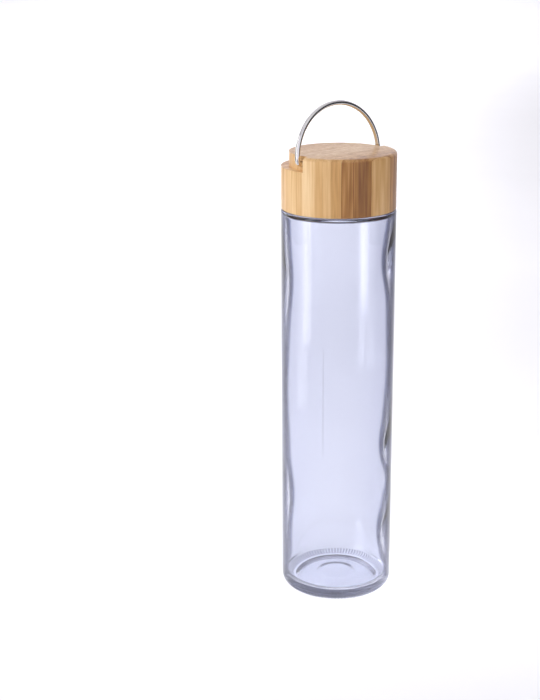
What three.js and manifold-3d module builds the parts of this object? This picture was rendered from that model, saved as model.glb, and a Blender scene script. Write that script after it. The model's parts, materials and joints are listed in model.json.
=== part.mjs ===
// Glass water bottle: a straight-sided glass body with a screwed bamboo lid, and a
// folding loop of polished steel wire on the lid.
//
// Millimetres, +Z up. The origin is the centre of the base, on the surface it stands on.
// The handle swings about an axis parallel to X, and folds down towards +Y on to a
// half-ring ledge cut into the rim of the lid.

import * as THREE from 'three';
import { mergeVertices } from 'three/addons/utils/BufferGeometryUtils.js';
import Module from 'manifold-3d';

// ---- Driving dimensions --------------------------------------------------------------

const GAP = 0.3;                     // clearance between neighbouring solids

// Glass
const BODY_RADIUS = 35;              // 70 mm outside diameter
const WALL = 3;
const HEEL_RADIUS = 6.4;             // rounding from the wall to the base
const BEARING_WIDTH = 2.3;           // flat ring that the bottle stands on
const PUSH_UP = 3;                   // height of the hollow under the base
const CENTRE_RING = 12.5;            // radius of the raised disc in the push-up
const FLOOR_Z = 7;                   // inside floor, at its edge
const FLOOR_CROWN = 1;               // the floor's rise towards its middle
const INNER_HEEL = 4.5;
const SHOULDER_Z = 247.2;            // top face of the shoulder, under the lid's rim
const SHOULDER_RADIUS = 1.6;
const SHOULDER_WALL = 2.2;           // thickness of the shoulder over the cavity
const INNER_SHOULDER = 1.5;
const NECK_RADIUS = 24;
const NECK_WALL = 3;
const NECK_HEIGHT = 14.3;
const LIP_RADIUS = 1;

// Screw thread
const THREAD_LEAD = 5;               // rise in one turn
const THREAD_START_Z = SHOULDER_Z + 3;
const GLASS_BEAD = 1.2;              // radius of the bead on the neck
const INSERT_BEAD = 1;               // radius of the bead inside the insert
const BEAD_TURNS = 1.5;
const BEAD_FADE = 0.1;               // part of a turn in which an end sinks away

// Silicone seal, on the lip of the neck
const SEAL_INNER = 21;
const SEAL_OUTER = 25.2;
const SEAL_THICKNESS = 2;
const SEAL_CHAMFER = 0.4;

// Plastic insert in the lid
const INSERT_INNER = 25.7;
const INSERT_OUTER = 28;
const INSERT_CEILING = 2;
const INSERT_SETBACK = 0.6;          // the insert's edge is this far inside the lid

// Bamboo lid
const LID_RADIUS = 34.8;
const LID_HEIGHT = 34.5;
const LID_TOP_ROUND = 2.1;
const LID_EDGE = 0.5;                // broken edges at the lid's mouth
const LEDGE_INNER = 30;              // radius of the raised middle of the lid
const LEDGE_DEPTH = 8.7;
const LEDGE_OVERRUN = 5.6;           // the ledge passes the handle's axis by this much

// Steel wire handle
const WIRE_RADIUS = 1.5;
const PIVOT_DEPTH = 4.8;             // axis of the pins, below the top of the lid
const FOOT_X = 33;                   // centre line of each leg
const FOOT_BEND = 2.2;
const LEG_RISE = 2.4;                // the legs are straight up to here
const ARCH_HEIGHT = 30.5;            // from there to the top of the arch
const PIN_END_X = 21;                // inner end of each pin
const HOLE_CLEARANCE = 0.3;
const HOLE_RUN_ON = 0.7;             // the hole is this much deeper than the pin
const HANDLE_LEAN = 5;               // degrees from upright towards +Y, at rest

// Levels that follow from these
const LID_BOTTOM_Z = SHOULDER_Z + GAP;
const LID_TOP_Z = LID_BOTTOM_Z + LID_HEIGHT;
const LIP_Z = SHOULDER_Z + NECK_HEIGHT;
const SEAL_Z = LIP_Z + GAP;
const CEILING_Z = SEAL_Z + SEAL_THICKNESS + GAP;
const LEDGE_Z = LID_TOP_Z - LEDGE_DEPTH;
const PIVOT_Z = LID_TOP_Z - PIVOT_DEPTH;

// Facets
const ROUND_SEGMENTS = 48;
const THREAD_STEPS = 48;
const THREAD_SIDES = 8;
const WIRE_STEPS = 110;
const WIRE_SIDES = 8;

// ---- Geometry helpers ----------------------------------------------------------------

const wasm = await Module();
wasm.setup();

const at = (r, z) => new THREE.Vector2(r, z);

// Points along an arc about (r, z), between two angles in degrees.
function arc(r, z, radius, from, to, steps) {
  const points = [];
  for (let i = 0; i <= steps; i += 1) {
    const angle = THREE.MathUtils.degToRad(THREE.MathUtils.lerp(from, to, i / steps));
    points.push(at(r + radius * Math.cos(angle), z + radius * Math.sin(angle)));
  }
  return points;
}

// A profile of (radius, height) points turned about Z.
function turned(profile) {
  return new THREE.LatheGeometry(profile, ROUND_SEGMENTS).rotateX(Math.PI / 2);
}

// A closed mesh as a solid that can be joined and cut.
function solid(geometry) {
  const bare = geometry.clone();
  bare.deleteAttribute('normal');
  bare.deleteAttribute('uv');
  const merged = mergeVertices(bare);
  const corners = merged.index.array;
  const triangles = [];
  for (let i = 0; i < corners.length; i += 3) {
    const [a, b, c] = corners.slice(i, i + 3);
    if (a !== b && b !== c && c !== a) triangles.push(a, b, c);
  }
  return new wasm.Manifold(new wasm.Mesh({
    numProp: 3,
    vertProperties: merged.attributes.position.array,
    triVerts: new Uint32Array(triangles),
  }));
}

function geometryOf(manifold) {
  const mesh = manifold.getMesh();
  const geometry = new THREE.BufferGeometry();
  geometry.setAttribute('position', new THREE.BufferAttribute(mesh.vertProperties, 3));
  geometry.setIndex(new THREE.BufferAttribute(mesh.triVerts, 1));
  geometry.computeVertexNormals();
  return geometry;
}

// A regular polygon, as the section of a wire or a bead.
function roundSection(radius, sides) {
  const corners = [];
  for (let i = 0; i < sides; i += 1) {
    const angle = (2 * Math.PI * i) / sides;
    corners.push(at(radius * Math.cos(angle), radius * Math.sin(angle)));
  }
  return new THREE.Shape(corners);
}

function swept(section, curve, steps) {
  return new THREE.ExtrudeGeometry(section, { extrudePath: curve, steps, bevelEnabled: false });
}

// A helix about Z. Its two ends move off by `sink`, so that a bead on it fades into the wall.
class ThreadCurve extends THREE.Curve {
  constructor(radius, startZ, sink) {
    super();
    this.radius = radius;
    this.startZ = startZ;
    this.sink = sink;
  }

  getPoint(t, target = new THREE.Vector3()) {
    const turns = BEAD_TURNS * t;
    const toEnd = Math.min(turns, BEAD_TURNS - turns);
    const sunk = 1 - Math.min(1, toEnd / BEAD_FADE);
    const radius = this.radius + this.sink * sunk;
    const angle = 2 * Math.PI * turns;
    const z = this.startZ + THREAD_LEAD * turns;
    return target.set(radius * Math.cos(angle), radius * Math.sin(angle), z);
  }
}

// A flat path stood upright in the XZ plane.
class UprightCurve extends THREE.Curve {
  constructor(path) {
    super();
    this.path = path;
  }

  getPoint(t, target = new THREE.Vector3()) {
    const { x, y } = this.path.getPoint(t);
    return target.set(x, 0, y);
  }
}

function part(name, geometry, color, roughness, metalness) {
  const material = new THREE.MeshStandardMaterial({ color, roughness, metalness });
  const mesh = new THREE.Mesh(geometry, material);
  mesh.name = name;
  return mesh;
}

// ---- Glass bottle --------------------------------------------------------------------

function glassBottle() {
  const bearingOuter = BODY_RADIUS - HEEL_RADIUS;
  const bearingInner = bearingOuter - BEARING_WIDTH;
  const inside = BODY_RADIUS - WALL;
  const neckInside = NECK_RADIUS - NECK_WALL;
  const shoulderInside = SHOULDER_Z - SHOULDER_WALL;
  const neckBend = 2.5;
  const profile = [
    // Underside, from the centre out
    at(0, PUSH_UP),
    at(CENTRE_RING - 0.8, PUSH_UP),
    at(CENTRE_RING, PUSH_UP - 0.5),
    at(bearingInner - 2, PUSH_UP / 2),
    at(bearingInner, 0),
    // Outside, from the base up
    ...arc(bearingOuter, HEEL_RADIUS, HEEL_RADIUS, -90, 0, 7),
    ...arc(BODY_RADIUS - SHOULDER_RADIUS, SHOULDER_Z - SHOULDER_RADIUS, SHOULDER_RADIUS, 0, 90, 4),
    at(NECK_RADIUS + 0.6, SHOULDER_Z),
    at(NECK_RADIUS, SHOULDER_Z + 0.6),
    ...arc(NECK_RADIUS - LIP_RADIUS, LIP_Z - LIP_RADIUS, LIP_RADIUS, 0, 90, 2),
    // Inside, from the lip down
    ...arc(neckInside + LIP_RADIUS, LIP_Z - LIP_RADIUS, LIP_RADIUS, 90, 180, 2),
    ...arc(neckInside + neckBend, shoulderInside + neckBend, neckBend, 180, 270, 3),
    ...arc(inside - INNER_SHOULDER, shoulderInside - INNER_SHOULDER, INNER_SHOULDER, 90, 0, 4),
    ...arc(inside - INNER_HEEL, FLOOR_Z + INNER_HEEL, INNER_HEEL, 0, -90, 5),
    at(CENTRE_RING, FLOOR_Z + 0.8 * FLOOR_CROWN),
    at(0, FLOOR_Z + FLOOR_CROWN),
  ];
  const curve = new ThreadCurve(NECK_RADIUS, THREAD_START_Z, -GLASS_BEAD - 0.2);
  const bead = swept(roundSection(GLASS_BEAD, THREAD_SIDES), curve, THREAD_STEPS);
  return geometryOf(solid(turned(profile)).add(solid(bead)));
}

// ---- Seal ring -----------------------------------------------------------------------

function sealRing() {
  const top = SEAL_Z + SEAL_THICKNESS;
  const profile = [
    at(SEAL_INNER + SEAL_CHAMFER, SEAL_Z),
    at(SEAL_OUTER - SEAL_CHAMFER, SEAL_Z),
    at(SEAL_OUTER, SEAL_Z + SEAL_CHAMFER),
    at(SEAL_OUTER, top - SEAL_CHAMFER),
    at(SEAL_OUTER - SEAL_CHAMFER, top),
    at(SEAL_INNER + SEAL_CHAMFER, top),
    at(SEAL_INNER, top - SEAL_CHAMFER),
    at(SEAL_INNER, SEAL_Z + SEAL_CHAMFER),
    at(SEAL_INNER + SEAL_CHAMFER, SEAL_Z),
  ];
  return turned(profile);
}

// ---- Lid insert ----------------------------------------------------------------------

function lidInsert() {
  const edge = LID_BOTTOM_Z + INSERT_SETBACK;
  const top = CEILING_Z + INSERT_CEILING;
  const profile = [
    at(0, CEILING_Z),
    at(INSERT_INNER, CEILING_Z),
    at(INSERT_INNER, edge + LID_EDGE),
    at(INSERT_INNER + LID_EDGE, edge),
    at(INSERT_OUTER, edge),
    at(INSERT_OUTER, top - LID_EDGE),
    at(INSERT_OUTER - LID_EDGE, top),
    at(0, top),
  ];
  // Half a lead above the bead on the neck, so that one bead rides between the turns of
  // the other.
  const startZ = THREAD_START_Z + THREAD_LEAD / 2;
  const curve = new ThreadCurve(INSERT_INNER + 0.1, startZ, INSERT_BEAD + 0.2);
  const bead = swept(roundSection(INSERT_BEAD, THREAD_SIDES), curve, THREAD_STEPS);
  return geometryOf(solid(turned(profile)).add(solid(bead)));
}

// ---- Bamboo lid ----------------------------------------------------------------------

// The space above the ledge: the half of the rim on the +Y side, run past the pins.
function ledgeCutter() {
  const outer = LID_RADIUS + 5;
  const innerAngle = Math.asin(LEDGE_OVERRUN / LEDGE_INNER);
  const outerAngle = Math.asin(LEDGE_OVERRUN / outer);
  const shape = new THREE.Shape();
  shape.absarc(0, 0, outer, -outerAngle, Math.PI + outerAngle, false);
  shape.absarc(0, 0, LEDGE_INNER, Math.PI + innerAngle, -innerAngle, true);
  const settings = { depth: LEDGE_DEPTH + 5, curveSegments: 16, bevelEnabled: false };
  return new THREE.ExtrudeGeometry(shape, settings).translate(0, 0, LEDGE_Z);
}

// One blind hole for a pin. `side` is 1 at +X and -1 at -X.
function pinHole(side) {
  const from = PIN_END_X - HOLE_RUN_ON;
  const length = LID_RADIUS - from;
  const radius = WIRE_RADIUS + HOLE_CLEARANCE;
  const hole = new THREE.CylinderGeometry(radius, radius, length, 16).rotateZ(Math.PI / 2);
  return hole.translate(side * (from + length / 2), 0, PIVOT_Z);
}

function bambooLid() {
  const bore = INSERT_OUTER + GAP;
  const boreTop = CEILING_Z + INSERT_CEILING + GAP;
  const roundR = LID_RADIUS - LID_TOP_ROUND;
  const profile = [
    at(0, boreTop),
    at(bore, boreTop),
    at(bore, LID_BOTTOM_Z + LID_EDGE),
    at(bore + LID_EDGE, LID_BOTTOM_Z),
    at(LID_RADIUS - LID_EDGE, LID_BOTTOM_Z),
    at(LID_RADIUS, LID_BOTTOM_Z + LID_EDGE),
    ...arc(roundR, LID_TOP_Z - LID_TOP_ROUND, LID_TOP_ROUND, 0, 90, 4),
    at(0, LID_TOP_Z),
  ];
  let lid = solid(turned(profile)).subtract(solid(ledgeCutter()));
  for (const side of [-1, 1]) {
    lid = lid.subtract(solid(pinHole(side)));
  }
  return geometryOf(lid);
}

// ---- Wire handle ---------------------------------------------------------------------

// One bent wire, about the pivot axis: a pin, a tight bend, a leg, the arch, and back.
function wireHandle() {
  const bendX = FOOT_X - FOOT_BEND;
  const path = new THREE.Path();
  path.moveTo(-PIN_END_X, 0);
  path.lineTo(-bendX, 0);
  path.absarc(-bendX, FOOT_BEND, FOOT_BEND, -Math.PI / 2, -Math.PI, true);
  path.lineTo(-FOOT_X, LEG_RISE);
  path.absellipse(0, LEG_RISE, FOOT_X, ARCH_HEIGHT, Math.PI, 0, true);
  path.lineTo(FOOT_X, FOOT_BEND);
  path.absarc(bendX, FOOT_BEND, FOOT_BEND, 0, -Math.PI / 2, true);
  path.lineTo(PIN_END_X, 0);
  return swept(roundSection(WIRE_RADIUS, WIRE_SIDES), new UprightCurve(path), WIRE_STEPS);
}

// ---- Assembly ------------------------------------------------------------------------

const bottle = new THREE.Group();
bottle.add(part('glass_bottle', glassBottle(), 0xd6d8e9, 0.05, 0));
bottle.add(part('seal_ring', sealRing(), 0xe8e8e4, 0.6, 0));

const lid = new THREE.Group();
lid.add(part('bamboo_lid', bambooLid(), 0xd6ab74, 0.45, 0));
lid.add(part('lid_insert', lidInsert(), 0xf2f1ec, 0.4, 0));
bottle.add(lid);

const handle = new THREE.Group();
handle.position.z = PIVOT_Z;
handle.rotation.x = -THREE.MathUtils.degToRad(HANDLE_LEAN);
handle.add(part('wire_handle', wireHandle(), 0xc9c7c4, 0.15, 1));
lid.add(handle);

export default bottle;
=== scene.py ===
"""Glass water bottle with a bamboo screw lid and a folding steel loop handle.

The CAD frame gives the places, sizes and joints. This script makes the surfaces that show:
a wall of slightly uneven glass, a lid of laminated bamboo, a polished wire, and what is
hidden under the lid until it is unscrewed. Everything is in metres, in the CAD's frame.
"""

import json
import math

import bpy
import numpy as np
from mathutils import Matrix, Vector


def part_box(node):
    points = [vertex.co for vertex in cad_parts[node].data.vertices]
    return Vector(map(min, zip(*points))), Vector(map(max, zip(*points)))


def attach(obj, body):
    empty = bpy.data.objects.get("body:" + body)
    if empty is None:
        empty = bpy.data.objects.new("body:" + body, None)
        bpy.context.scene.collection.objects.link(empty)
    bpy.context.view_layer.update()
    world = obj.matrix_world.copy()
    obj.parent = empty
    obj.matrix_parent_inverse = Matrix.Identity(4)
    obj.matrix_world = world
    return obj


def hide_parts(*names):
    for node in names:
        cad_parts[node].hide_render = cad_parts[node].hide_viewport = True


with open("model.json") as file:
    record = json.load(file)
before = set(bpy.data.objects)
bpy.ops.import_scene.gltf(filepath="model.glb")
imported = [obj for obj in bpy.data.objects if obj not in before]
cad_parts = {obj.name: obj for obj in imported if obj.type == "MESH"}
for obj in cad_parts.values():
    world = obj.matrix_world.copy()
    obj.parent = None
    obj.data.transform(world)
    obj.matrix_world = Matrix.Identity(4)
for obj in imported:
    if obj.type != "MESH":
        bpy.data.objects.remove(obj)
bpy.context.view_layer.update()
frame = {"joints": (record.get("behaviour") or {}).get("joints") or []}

MM = 0.001

# ---- Sizes: the frame's boxes, and the same driving dimensions as the CAD ------------

GLASS_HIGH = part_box("glass_bottle")[1]
SEAL_LOW, SEAL_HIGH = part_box("seal_ring")
INSERT_LOW, INSERT_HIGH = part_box("lid_insert")
LID_LOW, LID_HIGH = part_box("bamboo_lid")
HANDLE_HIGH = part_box("wire_handle")[1]
HANDLE_PIVOT = next(j for j in frame["joints"] if j["name"] == "handle_fold")["pos_m"]

GAP = 0.3 * MM

BODY_RADIUS = GLASS_HIGH.x
LIP_Z = GLASS_HIGH.z
SHOULDER_Z = LID_LOW.z - GAP
WALL = 3 * MM
HEEL_RADIUS = 6.4 * MM
BEARING_WIDTH = 2.3 * MM
PUSH_UP = 3 * MM
CENTRE_RING = 12.5 * MM
CENTRE_RING_EDGE = 0.7 * MM  # width of the step round the raised disc
CENTRE_RING_SHARE = 0.15  # the step's part of the push-up's height
FLOOR_Z = 7 * MM
FLOOR_CROWN = 1 * MM
INNER_HEEL = 4.5 * MM
SHOULDER_RADIUS = 1.6 * MM
SHOULDER_WALL = 2.2 * MM
INNER_SHOULDER = 1.5 * MM
NECK_RADIUS = 24 * MM
NECK_WALL = 3 * MM
NECK_BEND = 2.5 * MM
NECK_FILLET = 0.6 * MM
LIP_RADIUS = 1 * MM

THREAD_LEAD = 5 * MM
THREAD_START_Z = SHOULDER_Z + 3 * MM
BEAD_TURNS = 1.5
BEAD_FADE = 0.08  # part of a turn in which an end of the bead fades out
BEAD_SPREAD = 1.15  # half the bead's width, for each unit of its height
GLASS_BEAD = 1.2 * MM
INSERT_BEAD = 1 * MM

SEAL_INNER = 21 * MM
SEAL_EDGE = 0.4 * MM

INSERT_INNER = 25.7 * MM
INSERT_CEILING = 2 * MM
INSERT_EDGE = 0.5 * MM

LID_RADIUS = LID_HIGH.x
LID_TOP_ROUND = 2.1 * MM
LID_EDGE = 0.5 * MM
LEDGE_INNER = 30 * MM
LEDGE_Z = LID_HIGH.z - 8.7 * MM
LEDGE_OVERRUN = 5.6 * MM
LEDGE_BEVEL = 0.45 * MM
CUTTER_MARGIN = 5 * MM

WIRE_RADIUS = 1.5 * MM
FOOT_X = HANDLE_HIGH.x - WIRE_RADIUS
FOOT_BEND = 2.2 * MM
LEG_RISE = 2.4 * MM
ARCH_HEIGHT = 30.5 * MM
PIN_END_X = 21 * MM
HOLE_CLEARANCE = 0.3 * MM
HOLE_RUN_ON = 0.7 * MM
HANDLE_LEAN = math.radians(5)

# The way from the bottle to the camera, anticlockwise from +X. Other bearings are from it.
CAMERA_BEARING = math.radians(-133.6)

# ---- Mesh helpers --------------------------------------------------------------------


def new_object(name, vertices, faces):
    """A smooth-shaded mesh object at the origin."""
    mesh = bpy.data.meshes.new(name)
    mesh.from_pydata(vertices, [], faces)
    mesh.validate()
    mesh.shade_smooth()
    piece = bpy.data.objects.new(name, mesh)
    bpy.context.scene.collection.objects.link(piece)
    return piece


def arc(r, z, radius, start, end, steps):
    """Points of an arc about (r, z), between two angles in degrees."""
    angles = np.radians(np.linspace(start, end, steps + 1))
    return [(r + radius * math.cos(a), z + radius * math.sin(a)) for a in angles]


def run(start, end, steps):
    """Points between two points of a profile, without the points themselves."""
    shares = np.linspace(0, 1, steps + 1)[1:-1]
    return [tuple(np.array(start) * (1 - s) + np.array(end) * s) for s in shares]


def smoothstep(low, high, value):
    share = np.clip((value - low) / (high - low), 0, 1)
    return share * share * (3 - 2 * share)


def revolve(name, profile, segments, shape=None, closed=False):
    """Turns a profile of (radius, height) points about Z.

    A profile either starts and ends on the axis or, when closed, joins its last point to
    its first. shape(angle, r, z) may move the points of the rings off the plain turning.
    """
    points = np.array(profile)
    rings = points if closed else points[1:-1]
    angle = np.linspace(0, 2 * math.pi, segments, endpoint=False)[None, :]
    r = np.repeat(rings[:, :1], segments, axis=1)
    z = np.repeat(rings[:, 1:], segments, axis=1)
    if shape:
        r, z = shape(angle, r, z)
    grid = np.stack([r * np.cos(angle), r * np.sin(angle), z], axis=2).reshape(-1, 3)
    count = len(rings)
    here = np.arange(segments)
    there = np.roll(here, -1)
    faces = []
    for row in range(count if closed else count - 1):
        a = row * segments
        b = (row + 1) % count * segments
        faces += np.stack([a + here, a + there, b + there, b + here], axis=1).tolist()
    vertices = grid.tolist()
    if not closed:
        first = len(vertices)
        last = first + 1
        vertices += [[0, 0, points[0, 1]], [0, 0, points[-1, 1]]]
        end = (count - 1) * segments
        faces += [[first, j, i] for i, j in zip(here.tolist(), there.tolist())]
        faces += [[last, end + i, end + j] for i, j in zip(here.tolist(), there.tolist())]
    return new_object(name, vertices, faces)


def thread_bead(angle, z, start_z, height):
    """How far a rounded bead wound up the thread stands out at each point."""
    turn = angle / (2 * math.pi)
    bead = np.zeros(np.broadcast(angle, z).shape)
    for lap in range(math.ceil(BEAD_TURNS)):
        along = turn + lap
        to_end = np.minimum(along, BEAD_TURNS - along)
        fade = smoothstep(0, BEAD_FADE, to_end)
        off = np.abs(z - start_z - THREAD_LEAD * along) / (BEAD_SPREAD * height)
        bump = np.cos(np.clip(off, 0, 1) * math.pi / 2) ** 1.2
        bead = np.maximum(bead, height * bump * fade)
    return bead


# ---- Materials -----------------------------------------------------------------------


class Nodes:
    """A material's node tree, with short ways to add and join nodes."""

    def __init__(self, name):
        self.material = bpy.data.materials.new(name)
        self.material.use_nodes = True
        self.tree = self.material.node_tree
        self.shader = self.tree.nodes["Principled BSDF"]
        self.output = self.tree.nodes["Material Output"]

    def add(self, kind, inputs=(), **settings):
        node = self.tree.nodes.new(kind)
        for name, value in settings.items():
            setattr(node, name, value)
        for name, value in dict(inputs).items():
            self.feed(node.inputs[name], value)
        return node

    def feed(self, socket, value):
        if isinstance(value, bpy.types.NodeSocket):
            self.tree.links.new(value, socket)
        else:
            socket.default_value = value

    def math(self, operation, *values, clamp=False):
        inputs = dict(enumerate(values))
        node = self.add("ShaderNodeMath", inputs, operation=operation, use_clamp=clamp)
        return node.outputs[0]

    def set(self, **inputs):
        for name, value in inputs.items():
            self.feed(self.shader.inputs[name.replace("_", " ")], value)

    def ramp(self, value, stops, interpolation="LINEAR"):
        node = self.add("ShaderNodeValToRGB", {"Fac": value})
        ramp = node.color_ramp
        ramp.interpolation = interpolation
        while len(ramp.elements) < len(stops):
            ramp.elements.new(1)
        for element, (position, color) in zip(ramp.elements, stops):
            element.position = position
            element.color = (*color, 1)
        return node.outputs["Color"]

    def position(self, scale=(1, 1, 1), turn=0):
        """The point on the piece at rest, in metres, turned about Z and then scaled."""
        where = self.add("ShaderNodeTexCoord").outputs["Object"]
        turned = self.add("ShaderNodeMapping", {"Vector": where, "Rotation": (0, 0, turn)})
        inputs = {"Vector": turned.outputs[0], "Scale": scale}
        return self.add("ShaderNodeMapping", inputs).outputs[0]

    def noise(self, vector, scale, detail=2, roughness=0.5):
        inputs = {"Vector": vector, "Scale": scale, "Detail": detail, "Roughness": roughness}
        return self.add("ShaderNodeTexNoise", inputs).outputs[0]

    def bump(self, height, distance, strength=1):
        inputs = {"Height": height, "Distance": distance, "Strength": strength}
        return self.add("ShaderNodeBump", inputs).outputs[0]


# A ring of short notches is moulded into the heel that the bottle stands on.
KNURLS = 96
KNURL_DEPTH = 0.5 * MM
KNURL_TOP = 5.4 * MM
# The height below which painted shade darkens the notches, standing in for the dark they show by
# bending light:
KNURL_SHADE_TOP = 5 * MM
KNURL_FADE = 0.8 * MM

# One mould seam shows as a faint upright line, part of the way up the body. The line is painted
# shade: the mesh has no ridge, and the dark that a seam shows by bending light is painted on.
SEAM_BEARING = CAMERA_BEARING - math.radians(14.5)
SEAM_MIDDLE = 133 * MM
SEAM_LENGTH = 74 * MM
SEAM_HALF_WIDTH = 0.22 * MM

# Painted shade darkens the glass where it is seen edge on, standing in for the dark surroundings
# seen in it; it is at full strength above the heel, and weaker on it.
EDGE_SHADE_LOW = 5 * MM
EDGE_SHADE_HIGH = 10 * MM
HEEL_EDGE_SHADE = 0.7


def clear_glass():
    """Clear glass with a faint cool tint, plus painted shade: darker where it is seen edge on,
    with dark lines painted for the mould seam and the heel's notches.
    """
    n = Nodes("clear_glass")
    point = n.add("ShaderNodeSeparateXYZ", {0: n.position(turn=-SEAM_BEARING)}).outputs
    toward_seam, beside_seam, up = point[0], point[1], point[2]

    edge_on = n.add("ShaderNodeLayerWeight", {"Blend": 0.5}).outputs["Facing"]
    rise = n.math("SUBTRACT", up, EDGE_SHADE_LOW)
    above_heel = n.math("DIVIDE", rise, EDGE_SHADE_HIGH - EDGE_SHADE_LOW, clamp=True)
    strength = n.math("ADD", HEEL_EDGE_SHADE, n.math("MULTIPLY", above_heel, 1 - HEEL_EDGE_SHADE))
    # Painted shade: beyond a facing of about 0.56 the colour falls from the cool tint to a
    # near-black navy.
    tint_and_painted_shade = n.ramp(n.math("MULTIPLY", edge_on, strength), [
        (0.0, (0.84, 0.857, 0.921)),
        (0.56, (0.77, 0.79, 0.88)),
        (0.6, (0.3, 0.32, 0.45)),
        (0.66, (0.03, 0.035, 0.08)),
        (0.8, (0.006, 0.007, 0.025)),
    ])

    # Painted shade: a thin dark upright line on the seam's side of the bottle, fading out at its
    # ends.
    off_line = n.math("ABSOLUTE", n.math("DIVIDE", beside_seam, SEAM_HALF_WIDTH))
    line = n.math("SUBTRACT", 1.0, off_line, clamp=True)
    line = n.math("MULTIPLY", line, n.math("GREATER_THAN", toward_seam, 0.0))
    along = n.math("DIVIDE", n.math("SUBTRACT", up, SEAM_MIDDLE), SEAM_LENGTH / 2)
    ends = n.math("SUBTRACT", 1.0, n.math("POWER", n.math("ABSOLUTE", along), 4.0), clamp=True)
    painted_seam_shade = n.math("MULTIPLY", n.math("MULTIPLY", line, ends), 0.5)

    # Painted shade: the notches on the heel, low on the bottle, are darkened, standing in for
    # the dark they show by bending light.
    around = n.math("MULTIPLY", n.math("ARCTAN2", beside_seam, toward_seam), KNURLS)
    squares = [n.math("MULTIPLY", axis, axis) for axis in (toward_seam, beside_seam)]
    outside = n.math("GREATER_THAN", n.math("ADD", *squares), (BODY_RADIUS - HEEL_RADIUS) ** 2)
    notch = n.math("GREATER_THAN", n.math("SINE", around), 0.1)
    notch = n.math("MULTIPLY", notch, n.math("LESS_THAN", up, KNURL_SHADE_TOP))
    notch = n.math("MULTIPLY", n.math("MULTIPLY", notch, outside), 0.85)

    # Both painted shades, the seam line and the notches, mix the colour towards this dark navy.
    for share in (painted_seam_shade, notch):
        inputs = {"Factor": share, 6: tint_and_painted_shade, 7: (0.16, 0.17, 0.26, 1)}
        tint_and_painted_shade = n.add("ShaderNodeMix", inputs, data_type="RGBA").outputs["Result"]

    ripple = n.noise(n.position(), 38, detail=1)
    n.set(Base_Color=tint_and_painted_shade, Roughness=0.0, IOR=1.5, Transmission_Weight=1.0)
    n.set(Normal=n.bump(ripple, 0.25 * MM, 0.35))
    inputs = {"Color": (0.6, 0.61, 0.68, 1), "Density": 45}
    absorption = n.add("ShaderNodeVolumeAbsorption", inputs)
    n.tree.links.new(absorption.outputs[0], n.output.inputs["Volume"])
    return n.material


# The lid is cut from a block of strips glued face to face. The strips stand upright and
# their fibres run up the lid. Each has a tone of its own, from 0, dark, to 1, pale.
STRIP_THICKNESS = 4.4 * MM
STRIP_WIDTH = 21 * MM
STRIP_OFFSET = 3 * MM
STRIP_TURN = math.radians(-3)
GLUE_SHARE = 0.014  # part of a strip's thickness that is glue, on each side
STRIP_CHANCE = 0.22  # how far two boards of one strip can differ
TOP_TONE = 0.62
TOP_EVENED = 0.4
STRIP_TONES = [
    0.6, 0.27, 0.42, 0.5, 0.64, 0.6, 0.86, 0.92, 0.88, 0.82, 0.74, 0.8, 0.62, 0.7, 0.55, 0.65]


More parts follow.
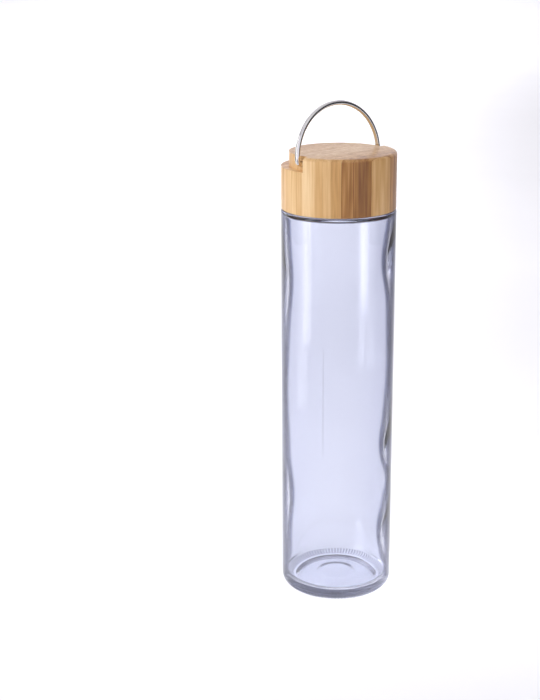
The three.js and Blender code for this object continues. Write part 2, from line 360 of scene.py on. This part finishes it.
def bamboo():
    """Laminated bamboo under a satin lacquer."""
    n = Nodes("bamboo")
    axes = n.add("ShaderNodeSeparateXYZ", {0: n.position(turn=STRIP_TURN)}).outputs
    along, across, up = axes[0], axes[1], axes[2]

    # Which strip this is, and how far it is to the nearest glue line
    count = len(STRIP_TONES)
    strips = n.math("DIVIDE", n.math("ADD", across, STRIP_OFFSET), STRIP_THICKNESS)
    index = n.math("FLOOR", strips)
    share = n.math("DIVIDE", n.math("ADD", index, count / 2), count)
    stops = [(i / count, (t, t, t)) for i, t in enumerate(STRIP_TONES)]
    tone = n.ramp(n.math("ADD", share, 0.5 / count), stops, "CONSTANT")
    inside = n.math("FRACT", strips)
    to_glue = n.math("MINIMUM", inside, n.math("SUBTRACT", 1.0, inside))
    glue = n.math("LESS_THAN", to_glue, GLUE_SHARE)
    boards = n.math("ADD", n.math("DIVIDE", along, STRIP_WIDTH), n.math("MULTIPLY", index, 0.37))
    cell = n.add("ShaderNodeCombineXYZ", {0: index, 1: n.math("FLOOR", boards)})
    chance = n.add("ShaderNodeTexWhiteNoise", {"Vector": cell.outputs[0]}, noise_dimensions="2D")
    own = n.math("MULTIPLY", n.math("SUBTRACT", chance.outputs["Value"], 0.5), STRIP_CHANCE)

    # Fibres: fine across the strip, long up the lid
    shifted = n.add("ShaderNodeCombineXYZ", {
        0: n.math("ADD", along, n.math("MULTIPLY", index, 0.13)), 1: across, 2: up})
    fine = n.add("ShaderNodeMapping", {"Vector": shifted.outputs[0], "Scale": (1, 1, 0.02)})
    fibres = n.noise(fine.outputs[0], 1500, detail=3, roughness=0.65)
    broad_map = n.add("ShaderNodeMapping", {"Vector": shifted.outputs[0], "Scale": (1, 1, 0.06)})
    broad = n.noise(broad_map.outputs[0], 330, detail=2, roughness=0.55)
    thin = n.math("MULTIPLY", n.math("SUBTRACT", fibres, 0.5), 0.55)
    wide = n.math("MULTIPLY", n.math("SUBTRACT", broad, 0.5), 0.75)
    streaks = n.math("ADD", thin, wide)

    # The end grain on top is more even than the sides.
    strip = n.math("ADD", tone, own)
    on_top = n.math("DIVIDE", n.math("SUBTRACT", up, LID_HIGH.z - LID_TOP_ROUND), MM, clamp=True)
    to_even = n.math("SUBTRACT", TOP_TONE, strip)
    evened = n.math("MULTIPLY", to_even, n.math("MULTIPLY", on_top, TOP_EVENED))
    pale = n.math("ADD", n.math("ADD", strip, evened), streaks)
    pale = n.math("SUBTRACT", pale, n.math("MULTIPLY", glue, 0.25), clamp=True)
    color = n.ramp(pale, [
        (0.0, (0.18, 0.06, 0.012)),
        (0.3, (0.43, 0.195, 0.05)),
        (0.6, (0.7, 0.4, 0.14)),
        (1.0, (0.93, 0.655, 0.33)),
    ])
    n.set(Base_Color=color, Roughness=n.math("ADD", 0.36, n.math("MULTIPLY", fibres, 0.12)))
    n.set(Coat_Weight=0.3, Coat_Roughness=0.2, Normal=n.bump(fibres, 0.05 * MM, 0.5))
    return n.material


def polished_steel():
    """Drawn and polished stainless wire."""
    n = Nodes("polished_steel")
    haze = n.noise(n.position(), 900, detail=3)
    color = n.ramp(haze, [(0.3, (0.8, 0.79, 0.77)), (0.7, (0.88, 0.87, 0.85))])
    n.set(Base_Color=color, Metallic=1.0)
    n.set(Roughness=n.math("ADD", 0.04, n.math("MULTIPLY", haze, 0.06)))
    n.set(Normal=n.bump(haze, 0.01 * MM, 0.3))
    return n.material


def insert_plastic():
    """Natural polypropylene, with a faint moulded texture."""
    n = Nodes("insert_plastic")
    mottle = n.noise(n.position(), 400, detail=3)
    color = n.ramp(mottle, [(0.3, (0.74, 0.725, 0.68)), (0.7, (0.8, 0.785, 0.745))])
    grain = n.noise(n.position(), 5200, detail=1)
    n.set(Base_Color=color, Roughness=n.math("ADD", 0.38, n.math("MULTIPLY", mottle, 0.15)))
    n.set(Subsurface_Weight=0.15, Subsurface_Scale=0.003, Normal=n.bump(grain, 0.02 * MM, 0.4))
    return n.material


def silicone():
    """Milky silicone rubber, matt with a little dust."""
    n = Nodes("silicone")
    dust = n.noise(n.position(), 1800, detail=4)
    color = n.ramp(dust, [(0.35, (0.66, 0.66, 0.63)), (0.75, (0.74, 0.74, 0.71))])
    n.set(Base_Color=color, Roughness=n.math("ADD", 0.5, n.math("MULTIPLY", dust, 0.2)))
    n.set(Subsurface_Weight=0.3, Subsurface_Scale=0.004, Normal=n.bump(dust, 0.02 * MM, 0.5))
    return n.material


# ---- Pieces --------------------------------------------------------------------------

GLASS_SEGMENTS = 480
ROUND_SEGMENTS = 240
WIRE_SIDES = 28
TOUCH = 0.001 * MM  # how near a point has to be to count as on a surface
RIPPLE = 0.12 * MM
EVEN_LOW = 14 * MM  # the wall comes out even over this height above the floor
EVEN_HIGH = 16 * MM  # and from here
EVEN_TOP = 4 * MM  # to here below the shoulder

# Where the wall is thicker or thinner than it should be: the bearing from the camera's
# side and how far round it reaches, in degrees, then the height, the reach up and down
# and the extra thickness, in millimetres.
SWELLS = [
    (90, 30, 216, 15, 1.2),
    (88, 34, 152, 26, -0.7),
    (92, 30, 97, 10, 0.8),
    (90, 28, 72, 9, -0.8),
    (90, 32, 38, 13, 1.3),
    (-90, 30, 205, 20, 1.0),
    (-88, 32, 128, 26, -0.7),
    (-92, 30, 62, 16, 1.0),
    (5, 40, 185, 30, 0.4),
    (40, 26, 120, 22, -0.4),
    (-40, 30, 80, 24, 0.4),
    (150, 36, 90, 26, 0.5),
    (-150, 34, 200, 18, 0.6),
    (180, 30, 45, 18, -0.5),
]


def underside(r):
    """Height of the hollow under the base, with the raised disc in its middle."""
    edge = BODY_RADIUS - HEEL_RADIUS - BEARING_WIDTH
    dome = (1 - CENTRE_RING_SHARE) * (1 - (r / edge) ** 6)
    disc = CENTRE_RING_SHARE * (1 - smoothstep(CENTRE_RING - CENTRE_RING_EDGE, CENTRE_RING, r))
    return PUSH_UP * (dome + disc)


def uneven(angle, z):
    """How far the moulded wall's inside stands in from where it should be."""
    round_angle = angle - CAMERA_BEARING
    extra = RIPPLE * np.sin(3 * round_angle - z / (17 * MM)) * np.sin(z / (23 * MM) + 1)
    for side, reach, height, rise, depth in SWELLS:
        off = np.degrees(np.arccos(np.cos(round_angle - math.radians(side)))) / reach
        extra = extra + depth * MM * np.exp(-off ** 2 - ((z / MM - height) / rise) ** 2)
    return extra


def shape_glass(angle, r, z):
    """The uneven inner wall, the notched heel and the thread."""
    inside_r = BODY_RADIUS - WALL
    on_wall = np.abs(r - inside_r) < TOUCH
    on_rounds = (r > inside_r - INNER_HEEL) & (r < inside_r)
    on_rounds = on_rounds & (z > FLOOR_Z) & (z < SHOULDER_Z - SHOULDER_WALL)
    on_inner_wall = on_wall | on_rounds
    from_floor = smoothstep(FLOOR_Z, FLOOR_Z + EVEN_LOW, z)
    to_shoulder = 1 - smoothstep(SHOULDER_Z - EVEN_HIGH, SHOULDER_Z - EVEN_TOP, z)
    moved_r = r - np.where(on_inner_wall, from_floor * to_shoulder * uneven(angle, z), 0)

    heel_r = BODY_RADIUS - HEEL_RADIUS
    on_heel = smoothstep(heel_r - KNURL_DEPTH, heel_r + KNURL_DEPTH, r)
    on_heel = on_heel * (1 - smoothstep(KNURL_TOP - KNURL_FADE, KNURL_TOP, z))
    notch = KNURL_DEPTH * on_heel * (0.5 + 0.5 * np.sin(KNURLS * (angle - SEAM_BEARING)))
    moved_r = moved_r - notch
    moved_z = z + notch

    on_neck = np.abs(r - NECK_RADIUS) < TOUCH
    bead = thread_bead(angle, z, THREAD_START_Z, GLASS_BEAD)
    return moved_r + np.where(on_neck, bead, 0), moved_z


def make_glass():
    inside = BODY_RADIUS - WALL
    neck_inside = NECK_RADIUS - NECK_WALL
    shoulder_inside = SHOULDER_Z - SHOULDER_WALL
    bearing_outer = BODY_RADIUS - HEEL_RADIUS
    bearing_inner = bearing_outer - BEARING_WIDTH
    heel_top = (BODY_RADIUS, HEEL_RADIUS)
    wall_top = (BODY_RADIUS, SHOULDER_Z - SHOULDER_RADIUS)
    neck_foot = (NECK_RADIUS, SHOULDER_Z + NECK_FILLET)
    neck_top = (NECK_RADIUS, LIP_Z - LIP_RADIUS)
    inner_top = (inside, shoulder_inside - INNER_SHOULDER)
    inner_foot = (inside, FLOOR_Z + INNER_HEEL)
    floor_edge = inside - INNER_HEEL
    profile = [
        *[(r, underside(r)) for r in np.linspace(0, bearing_inner, 18)],
        *run((bearing_inner, 0), (bearing_outer, 0), 4),
        *arc(bearing_outer, HEEL_RADIUS, HEEL_RADIUS, -90, 0, 18),
        *run(heel_top, wall_top, 8),
        *arc(BODY_RADIUS - SHOULDER_RADIUS, wall_top[1], SHOULDER_RADIUS, 0, 90, 10),
        *arc(NECK_RADIUS + NECK_FILLET, neck_foot[1], NECK_FILLET, 270, 180, 4),
        *run(neck_foot, neck_top, 30),
        *arc(NECK_RADIUS - LIP_RADIUS, neck_top[1], LIP_RADIUS, 0, 90, 6),
        *arc(neck_inside + LIP_RADIUS, neck_top[1], LIP_RADIUS, 90, 180, 6),
        *arc(neck_inside + NECK_BEND, shoulder_inside + NECK_BEND, NECK_BEND, 180, 270, 6),
        *arc(inside - INNER_SHOULDER, inner_top[1], INNER_SHOULDER, 90, 0, 8),
        *run(inner_top, inner_foot, 72),
        *arc(floor_edge, inner_foot[1], INNER_HEEL, 0, -90, 10),
        *[(r, FLOOR_Z + FLOOR_CROWN * (1 - (r / floor_edge) ** 2))
          for r in np.linspace(floor_edge, 0, 10)[1:]],
    ]
    glass = revolve("glass", profile, GLASS_SEGMENTS, shape_glass)
    glass.data.materials.append(clear_glass())
    glass.visible_shadow = False
    return glass


def make_seal():
    edge = SEAL_EDGE
    inner = SEAL_INNER
    outer = SEAL_HIGH.x
    low, high = SEAL_LOW.z, SEAL_HIGH.z
    profile = [
        *arc(outer - edge, low + edge, edge, -90, 0, 5),
        *arc(outer - edge, high - edge, edge, 0, 90, 5),
        *arc(inner + edge, high - edge, edge, 90, 180, 5),
        *arc(inner + edge, low + edge, edge, 180, 270, 5),
    ]
    seal = revolve("silicone_seal", profile, ROUND_SEGMENTS, closed=True)
    seal.data.materials.append(silicone())
    return seal


def shape_insert(angle, r, z):
    on_bore = np.abs(r - INSERT_INNER) < TOUCH
    start = THREAD_START_Z + THREAD_LEAD / 2
    bead = thread_bead(angle, z, start, INSERT_BEAD)
    return r - np.where(on_bore, bead, 0), z


def make_insert():
    ceiling = INSERT_HIGH.z - INSERT_CEILING
    low = INSERT_LOW.z
    edge = INSERT_EDGE
    bore_top = (INSERT_INNER, ceiling - edge)
    bore_foot = (INSERT_INNER, low + edge)
    outer = INSERT_HIGH.x
    profile = [
        (0, ceiling),
        *run((0, ceiling), (INSERT_INNER - edge, ceiling), 4),
        *arc(INSERT_INNER - edge, ceiling - edge, edge, 90, 0, 5),
        *run(bore_top, bore_foot, 40),
        *arc(INSERT_INNER + edge, low + edge, edge, 180, 270, 5),
        *arc(outer - edge, low + edge, edge, -90, 0, 5),
        *arc(outer - edge, INSERT_HIGH.z - edge, edge, 0, 90, 5),
        *run((outer - edge, INSERT_HIGH.z), (0, INSERT_HIGH.z), 4),
        (0, INSERT_HIGH.z),
    ]
    insert = revolve("threaded_insert", profile, ROUND_SEGMENTS, shape_insert)
    insert.data.materials.append(insert_plastic())
    return insert


def prism(name, outline, low, high):
    """An outline of (x, y) points, anticlockwise, stood up between two heights."""
    count = len(outline)
    vertices = [(x, y, low) for x, y in outline] + [(x, y, high) for x, y in outline]
    faces = [list(range(count))[::-1], list(range(count, 2 * count))]
    for i in range(count):
        j = (i + 1) % count
        faces.append([i, j, count + j, count + i])
    return new_object(name, vertices, faces)


def ledge_cutter():
    """The space above the ledge: half a ring on the +Y side, run on past the pins."""
    outer = LID_RADIUS + CUTTER_MARGIN
    inner_from = -math.degrees(math.asin(LEDGE_OVERRUN / LEDGE_INNER))
    outer_from = -math.degrees(math.asin(LEDGE_OVERRUN / outer))
    outline = arc(0, 0, outer, outer_from, 180 - outer_from, 64)
    outline += arc(0, 0, LEDGE_INNER, 180 - inner_from, inner_from, 120)
    return prism("ledge_cutter", outline, LEDGE_Z, LID_HIGH.z + CUTTER_MARGIN)


def pin_hole(side):
    """One blind cross hole for a pin of the handle, as a solid to cut away."""
    start = PIN_END_X - HOLE_RUN_ON
    radius = WIRE_RADIUS + HOLE_CLEARANCE
    hole = prism("pin_hole", arc(0, 0, radius, 0, 360, 48)[:-1], start, LID_RADIUS)
    hole.data.transform(Matrix.Rotation(side * math.pi / 2, 4, "Y"))
    hole.data.transform(Matrix.Translation(Vector(HANDLE_PIVOT)))
    return hole


def apply_modifiers(piece):
    """Bakes a piece's modifiers into its mesh."""
    graph = bpy.context.evaluated_depsgraph_get()
    mesh = bpy.data.meshes.new_from_object(piece.evaluated_get(graph))
    piece.modifiers.clear()
    old = piece.data
    piece.data = mesh
    bpy.data.meshes.remove(old)


def cut(piece, cutter):
    modifier = piece.modifiers.new("cut", "BOOLEAN")
    modifier.operation = "DIFFERENCE"
    modifier.solver = "EXACT"
    modifier.object = cutter
    apply_modifiers(piece)
    bpy.data.objects.remove(cutter)


def make_lid():
    bore = INSERT_HIGH.x + GAP
    bore_top = INSERT_HIGH.z + GAP
    low, high = LID_LOW.z, LID_HIGH.z
    round_r = LID_RADIUS - LID_TOP_ROUND
    edge = LID_EDGE
    profile = [
        (0, bore_top),
        (bore, bore_top),
        *run((bore, bore_top), (bore, low + edge), 3),
        *arc(bore + edge, low + edge, edge, 180, 270, 4),
        *arc(LID_RADIUS - edge, low + edge, edge, -90, 0, 4),
        *arc(round_r, high - LID_TOP_ROUND, LID_TOP_ROUND, 0, 90, 10),
        (0, high),
    ]
    lid = revolve("bamboo_cap", profile, ROUND_SEGMENTS)
    cut(lid, ledge_cutter())
    for side in (-1, 1):
        cut(lid, pin_hole(side))
    bevel = lid.modifiers.new("bevel", "BEVEL")
    bevel.width = LEDGE_BEVEL
    bevel.segments = 3
    bevel.limit_method = "ANGLE"
    bevel.angle_limit = math.radians(50)
    bevel.use_clamp_overlap = True
    apply_modifiers(lid)
    lid.data.shade_smooth()
    lid.data.set_sharp_from_angle(angle=math.radians(35))
    lid.data.materials.clear()
    lid.data.materials.append(bamboo())
    return lid


def handle_path():
    """The wire's centre line in its own upright plane, about the pivot, as (x, height)."""
    bend_x = FOOT_X - FOOT_BEND
    half = [
        (-PIN_END_X, 0),
        *run((-PIN_END_X, 0), (-bend_x, 0), 6),
        *arc(-bend_x, FOOT_BEND, FOOT_BEND, -90, -180, 10),
    ]
    arch = [(-FOOT_X * math.cos(a), LEG_RISE + ARCH_HEIGHT * math.sin(a))
            for a in np.linspace(0, math.pi, 121)]
    return half + arch + [(-x, height) for x, height in reversed(half)]


def make_handle():
    """A round wire swept along the path, cut square at both ends."""
    sides = WIRE_SIDES
    path = np.array(handle_path())
    tangent = np.gradient(path, axis=0)
    tangent /= np.linalg.norm(tangent, axis=1, keepdims=True)
    around = np.linspace(0, 2 * math.pi, sides, endpoint=False)
    rings = []
    for (x, height), (tx, tz) in zip(path, tangent):
        centre = np.array([x, 0, height])
        across = np.array([-tz, 0, tx])
        ring = centre + WIRE_RADIUS * (
            np.cos(around)[:, None] * across + np.sin(around)[:, None] * np.array([0, 1, 0]))
        rings.append(ring)
    vertices = np.concatenate(rings).tolist()
    faces = []
    for row in range(len(path) - 1):
        a, b = row * sides, (row + 1) * sides
        for i in range(sides):
            j = (i + 1) % sides
            faces.append([a + i, a + j, b + j, b + i])
    last = (len(path) - 1) * sides
    faces.append(list(range(sides))[::-1])
    faces.append([last + i for i in range(sides)])
    handle = new_object("steel_loop", vertices, faces)
    lean = Matrix.Rotation(-HANDLE_LEAN, 4, "X")
    handle.data.transform(Matrix.Translation(Vector(HANDLE_PIVOT)) @ lean)
    handle.data.materials.append(polished_steel())
    return handle


def add_piece(piece, body, node):
    """Puts the piece on its body, hides the CAD node it stands for, and adds it to the pieces
    that the key, fill, rim and wash lights alone reach.
    """
    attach(piece, body)
    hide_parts(node)
    pieces_only.objects.link(piece)


pieces_only = bpy.data.collections.new("pieces_only")
add_piece(make_glass(), "bottle", "glass_bottle")
add_piece(make_seal(), "seal", "seal_ring")
add_piece(make_insert(), "lid", "lid_insert")
add_piece(make_lid(), "lid", "bamboo_lid")
add_piece(make_handle(), "handle", "wire_handle")

# ---- Camera --------------------------------------------------------------------------

# The camera stands between the handle's -X end and the side away from the ledge, a little
# higher than the handle, and looks down on the bottle.
CAMERA_DISTANCE = 0.829
CAMERA_HEIGHT = 0.4152
CAMERA_AIM_LEFT = 0.0422
CAMERA_AIM_HEIGHT = 0.1566
CAMERA_ROLL = math.radians(-0.43)
CAMERA_LENS = 71.4


def bearing(angle):
    """The level direction at an angle, anticlockwise from +X."""
    return Vector((math.cos(angle), math.sin(angle), 0))


def make_camera():
    data = bpy.data.cameras.new("camera")
    data.lens = CAMERA_LENS
    data.clip_start = 0.05
    data.clip_end = 60
    camera = bpy.data.objects.new("camera", data)
    bpy.context.scene.collection.objects.link(camera)
    camera.location = bearing(CAMERA_BEARING) * CAMERA_DISTANCE
    camera.location.z = CAMERA_HEIGHT
    left = bearing(CAMERA_BEARING - math.pi / 2)
    aim = left * CAMERA_AIM_LEFT + Vector((0, 0, CAMERA_AIM_HEIGHT))
    look = (aim - camera.location).to_track_quat("-Z", "Y").to_matrix().to_4x4()
    camera.matrix_world = (
        Matrix.Translation(camera.location) @ look @ Matrix.Rotation(CAMERA_ROLL, 4, "Z"))
    bpy.context.scene.camera = camera


make_camera()

# ---- Studio --------------------------------------------------------------------------

FLAG_SIDES = (-85, 85)
FLAG_DISTANCE = 0.9
FLAG_MIDDLE = 0.4
FLAG_WIDTH = 0.9
FLAG_HEIGHT = 0.7


def make_floor():
    """A wide, plain, pale floor."""
    reach = 20
    corners = [(-reach, -reach, 0), (reach, -reach, 0), (reach, reach, 0), (-reach, reach, 0)]
    floor = new_object("floor", corners, [[0, 1, 2, 3]])
    n = Nodes("floor_paint")
    grain = n.noise(n.position(), 3, detail=4)
    color = n.ramp(grain, [(0.3, (0.86, 0.86, 0.87)), (0.7, (0.88, 0.88, 0.89))])
    n.set(Base_Color=color, Roughness=0.7)
    floor.data.materials.append(n.material)
    return floor


def studio_point(side, distance, height):
    """A point by its bearing from the camera's side of the bottle, in degrees."""
    point = bearing(CAMERA_BEARING + math.radians(side)) * distance
    return point + Vector((0, 0, height))


def make_flag(side):
    """An upright black card beside the bottle, which only polished surfaces pick up."""
    middle = studio_point(side, FLAG_DISTANCE, FLAG_MIDDLE)
    across = Vector((-middle.y, middle.x, 0)).normalized() * FLAG_WIDTH / 2
    up = Vector((0, 0, FLAG_HEIGHT / 2))
    corners = [middle - across - up, middle + across - up]
    corners += [middle + across + up, middle - across + up]
    flag = new_object("flag", corners, [[0, 1, 2, 3]])
    n = Nodes("black_card")
    n.set(Base_Color=(0.015, 0.015, 0.015, 1), Roughness=0.9)
    flag.data.materials.append(n.material)
    flag.visible_camera = False
    flag.visible_diffuse = False
    flag.visible_transmission = False
    flag.visible_shadow = False


def make_light(name, location, aim, size, power, spread=180, only=None, glossy=True):
    """A soft light that isn't seen itself. only is a collection that it lights alone.

    A light straight above its aim has its long side along the camera's view.
    """
    data = bpy.data.lights.new(name, "AREA")
    data.shape = "RECTANGLE"
    data.size, data.size_y = size
    data.energy = power
    data.spread = math.radians(spread)
    light = bpy.data.objects.new(name, data)
    bpy.context.scene.collection.objects.link(light)
    light.location = location
    if location.xy == aim.xy:
        light.rotation_euler.z = CAMERA_BEARING - math.pi / 2
    else:
        light.rotation_euler = (aim - location).to_track_quat("-Z", "Y").to_euler()
    light.visible_camera = False
    light.visible_glossy = glossy
    if only:
        light.light_linking.receiver_collection = only
        light.light_linking.blocker_collection = only


def make_world():
    """A soft room, bright behind the bottle and dimmer round its sides."""
    world = bpy.data.worlds.new("studio")
    bpy.context.scene.world = world
    world.use_nodes = True
    tree = world.node_tree
    where = tree.nodes.new("ShaderNodeTexCoord")
    ahead = tree.nodes.new("ShaderNodeVectorMath")
    ahead.operation = "DOT_PRODUCT"
    ahead.inputs[1].default_value = -bearing(CAMERA_BEARING)
    share = tree.nodes.new("ShaderNodeMapRange")
    share.inputs["From Min"].default_value = -1
    ramp = tree.nodes.new("ShaderNodeValToRGB")
    stops = [(0.0, 1.0), (0.1, 0.8), (0.25, 0.4), (0.5, 0.35), (0.8, 0.4), (0.95, 1.0)]
    while len(ramp.color_ramp.elements) < len(stops):
        ramp.color_ramp.elements.new(1)
    for element, (position, level) in zip(ramp.color_ramp.elements, stops):
        element.position = position
        element.color = (level, level * 0.97, level * 1.08, 1)
    tree.links.new(where.outputs["Generated"], ahead.inputs[0])
    tree.links.new(ahead.outputs["Value"], share.inputs["Value"])
    tree.links.new(share.outputs[0], ramp.inputs["Fac"])
    tree.links.new(ramp.outputs["Color"], tree.nodes["Background"].inputs["Color"])


floor_only = bpy.data.collections.new("floor_only")
floor_only.objects.link(make_floor())
make_world()
for flag_side in FLAG_SIDES:
    make_flag(flag_side)
pool = studio_point(-110, 0.09, 0)
near = studio_point(-172, 2.2, 0)
far = studio_point(-176, 5.8, 0)
make_light("pool", pool + Vector((0, 0, 2)), pool, (0.4, 0.4), 0.85, 32, floor_only)
make_light("near", near + Vector((0, 0, 1.3)), near, (1.0, 3.8), 15.5, 75, floor_only)
make_light("far", far + Vector((0, 0, 2)), far, (3.6, 5.4), 60, 120, floor_only)
lid_height = Vector((0, 0, 0.3))
over = Vector((0, 0, 1.3))
make_light("top", over, Vector(), (1.6, 1.6), 2.7)
make_light("key", studio_point(-64, 0.55, 0.35), lid_height, (0.2, 0.7), 0.9, 180, pieces_only)
make_light("fill", studio_point(49, 0.5, 0.4), lid_height, (0.2, 0.7), 0.16, 180, pieces_only)
make_light("rim", studio_point(-125, 0.7, 0.45), lid_height, (0.25, 0.5), 0.6, 180, pieces_only)
make_light("wash", studio_point(-80, 0.8, 0.4), lid_height, (0.6, 0.6), 1.4, 180, pieces_only,
           glossy=False)

scene = bpy.context.scene
scene.view_settings.view_transform = "Standard"
scene.cycles.max_bounces = 24
scene.cycles.transmission_bounces = 20
scene.cycles.glossy_bounces = 8
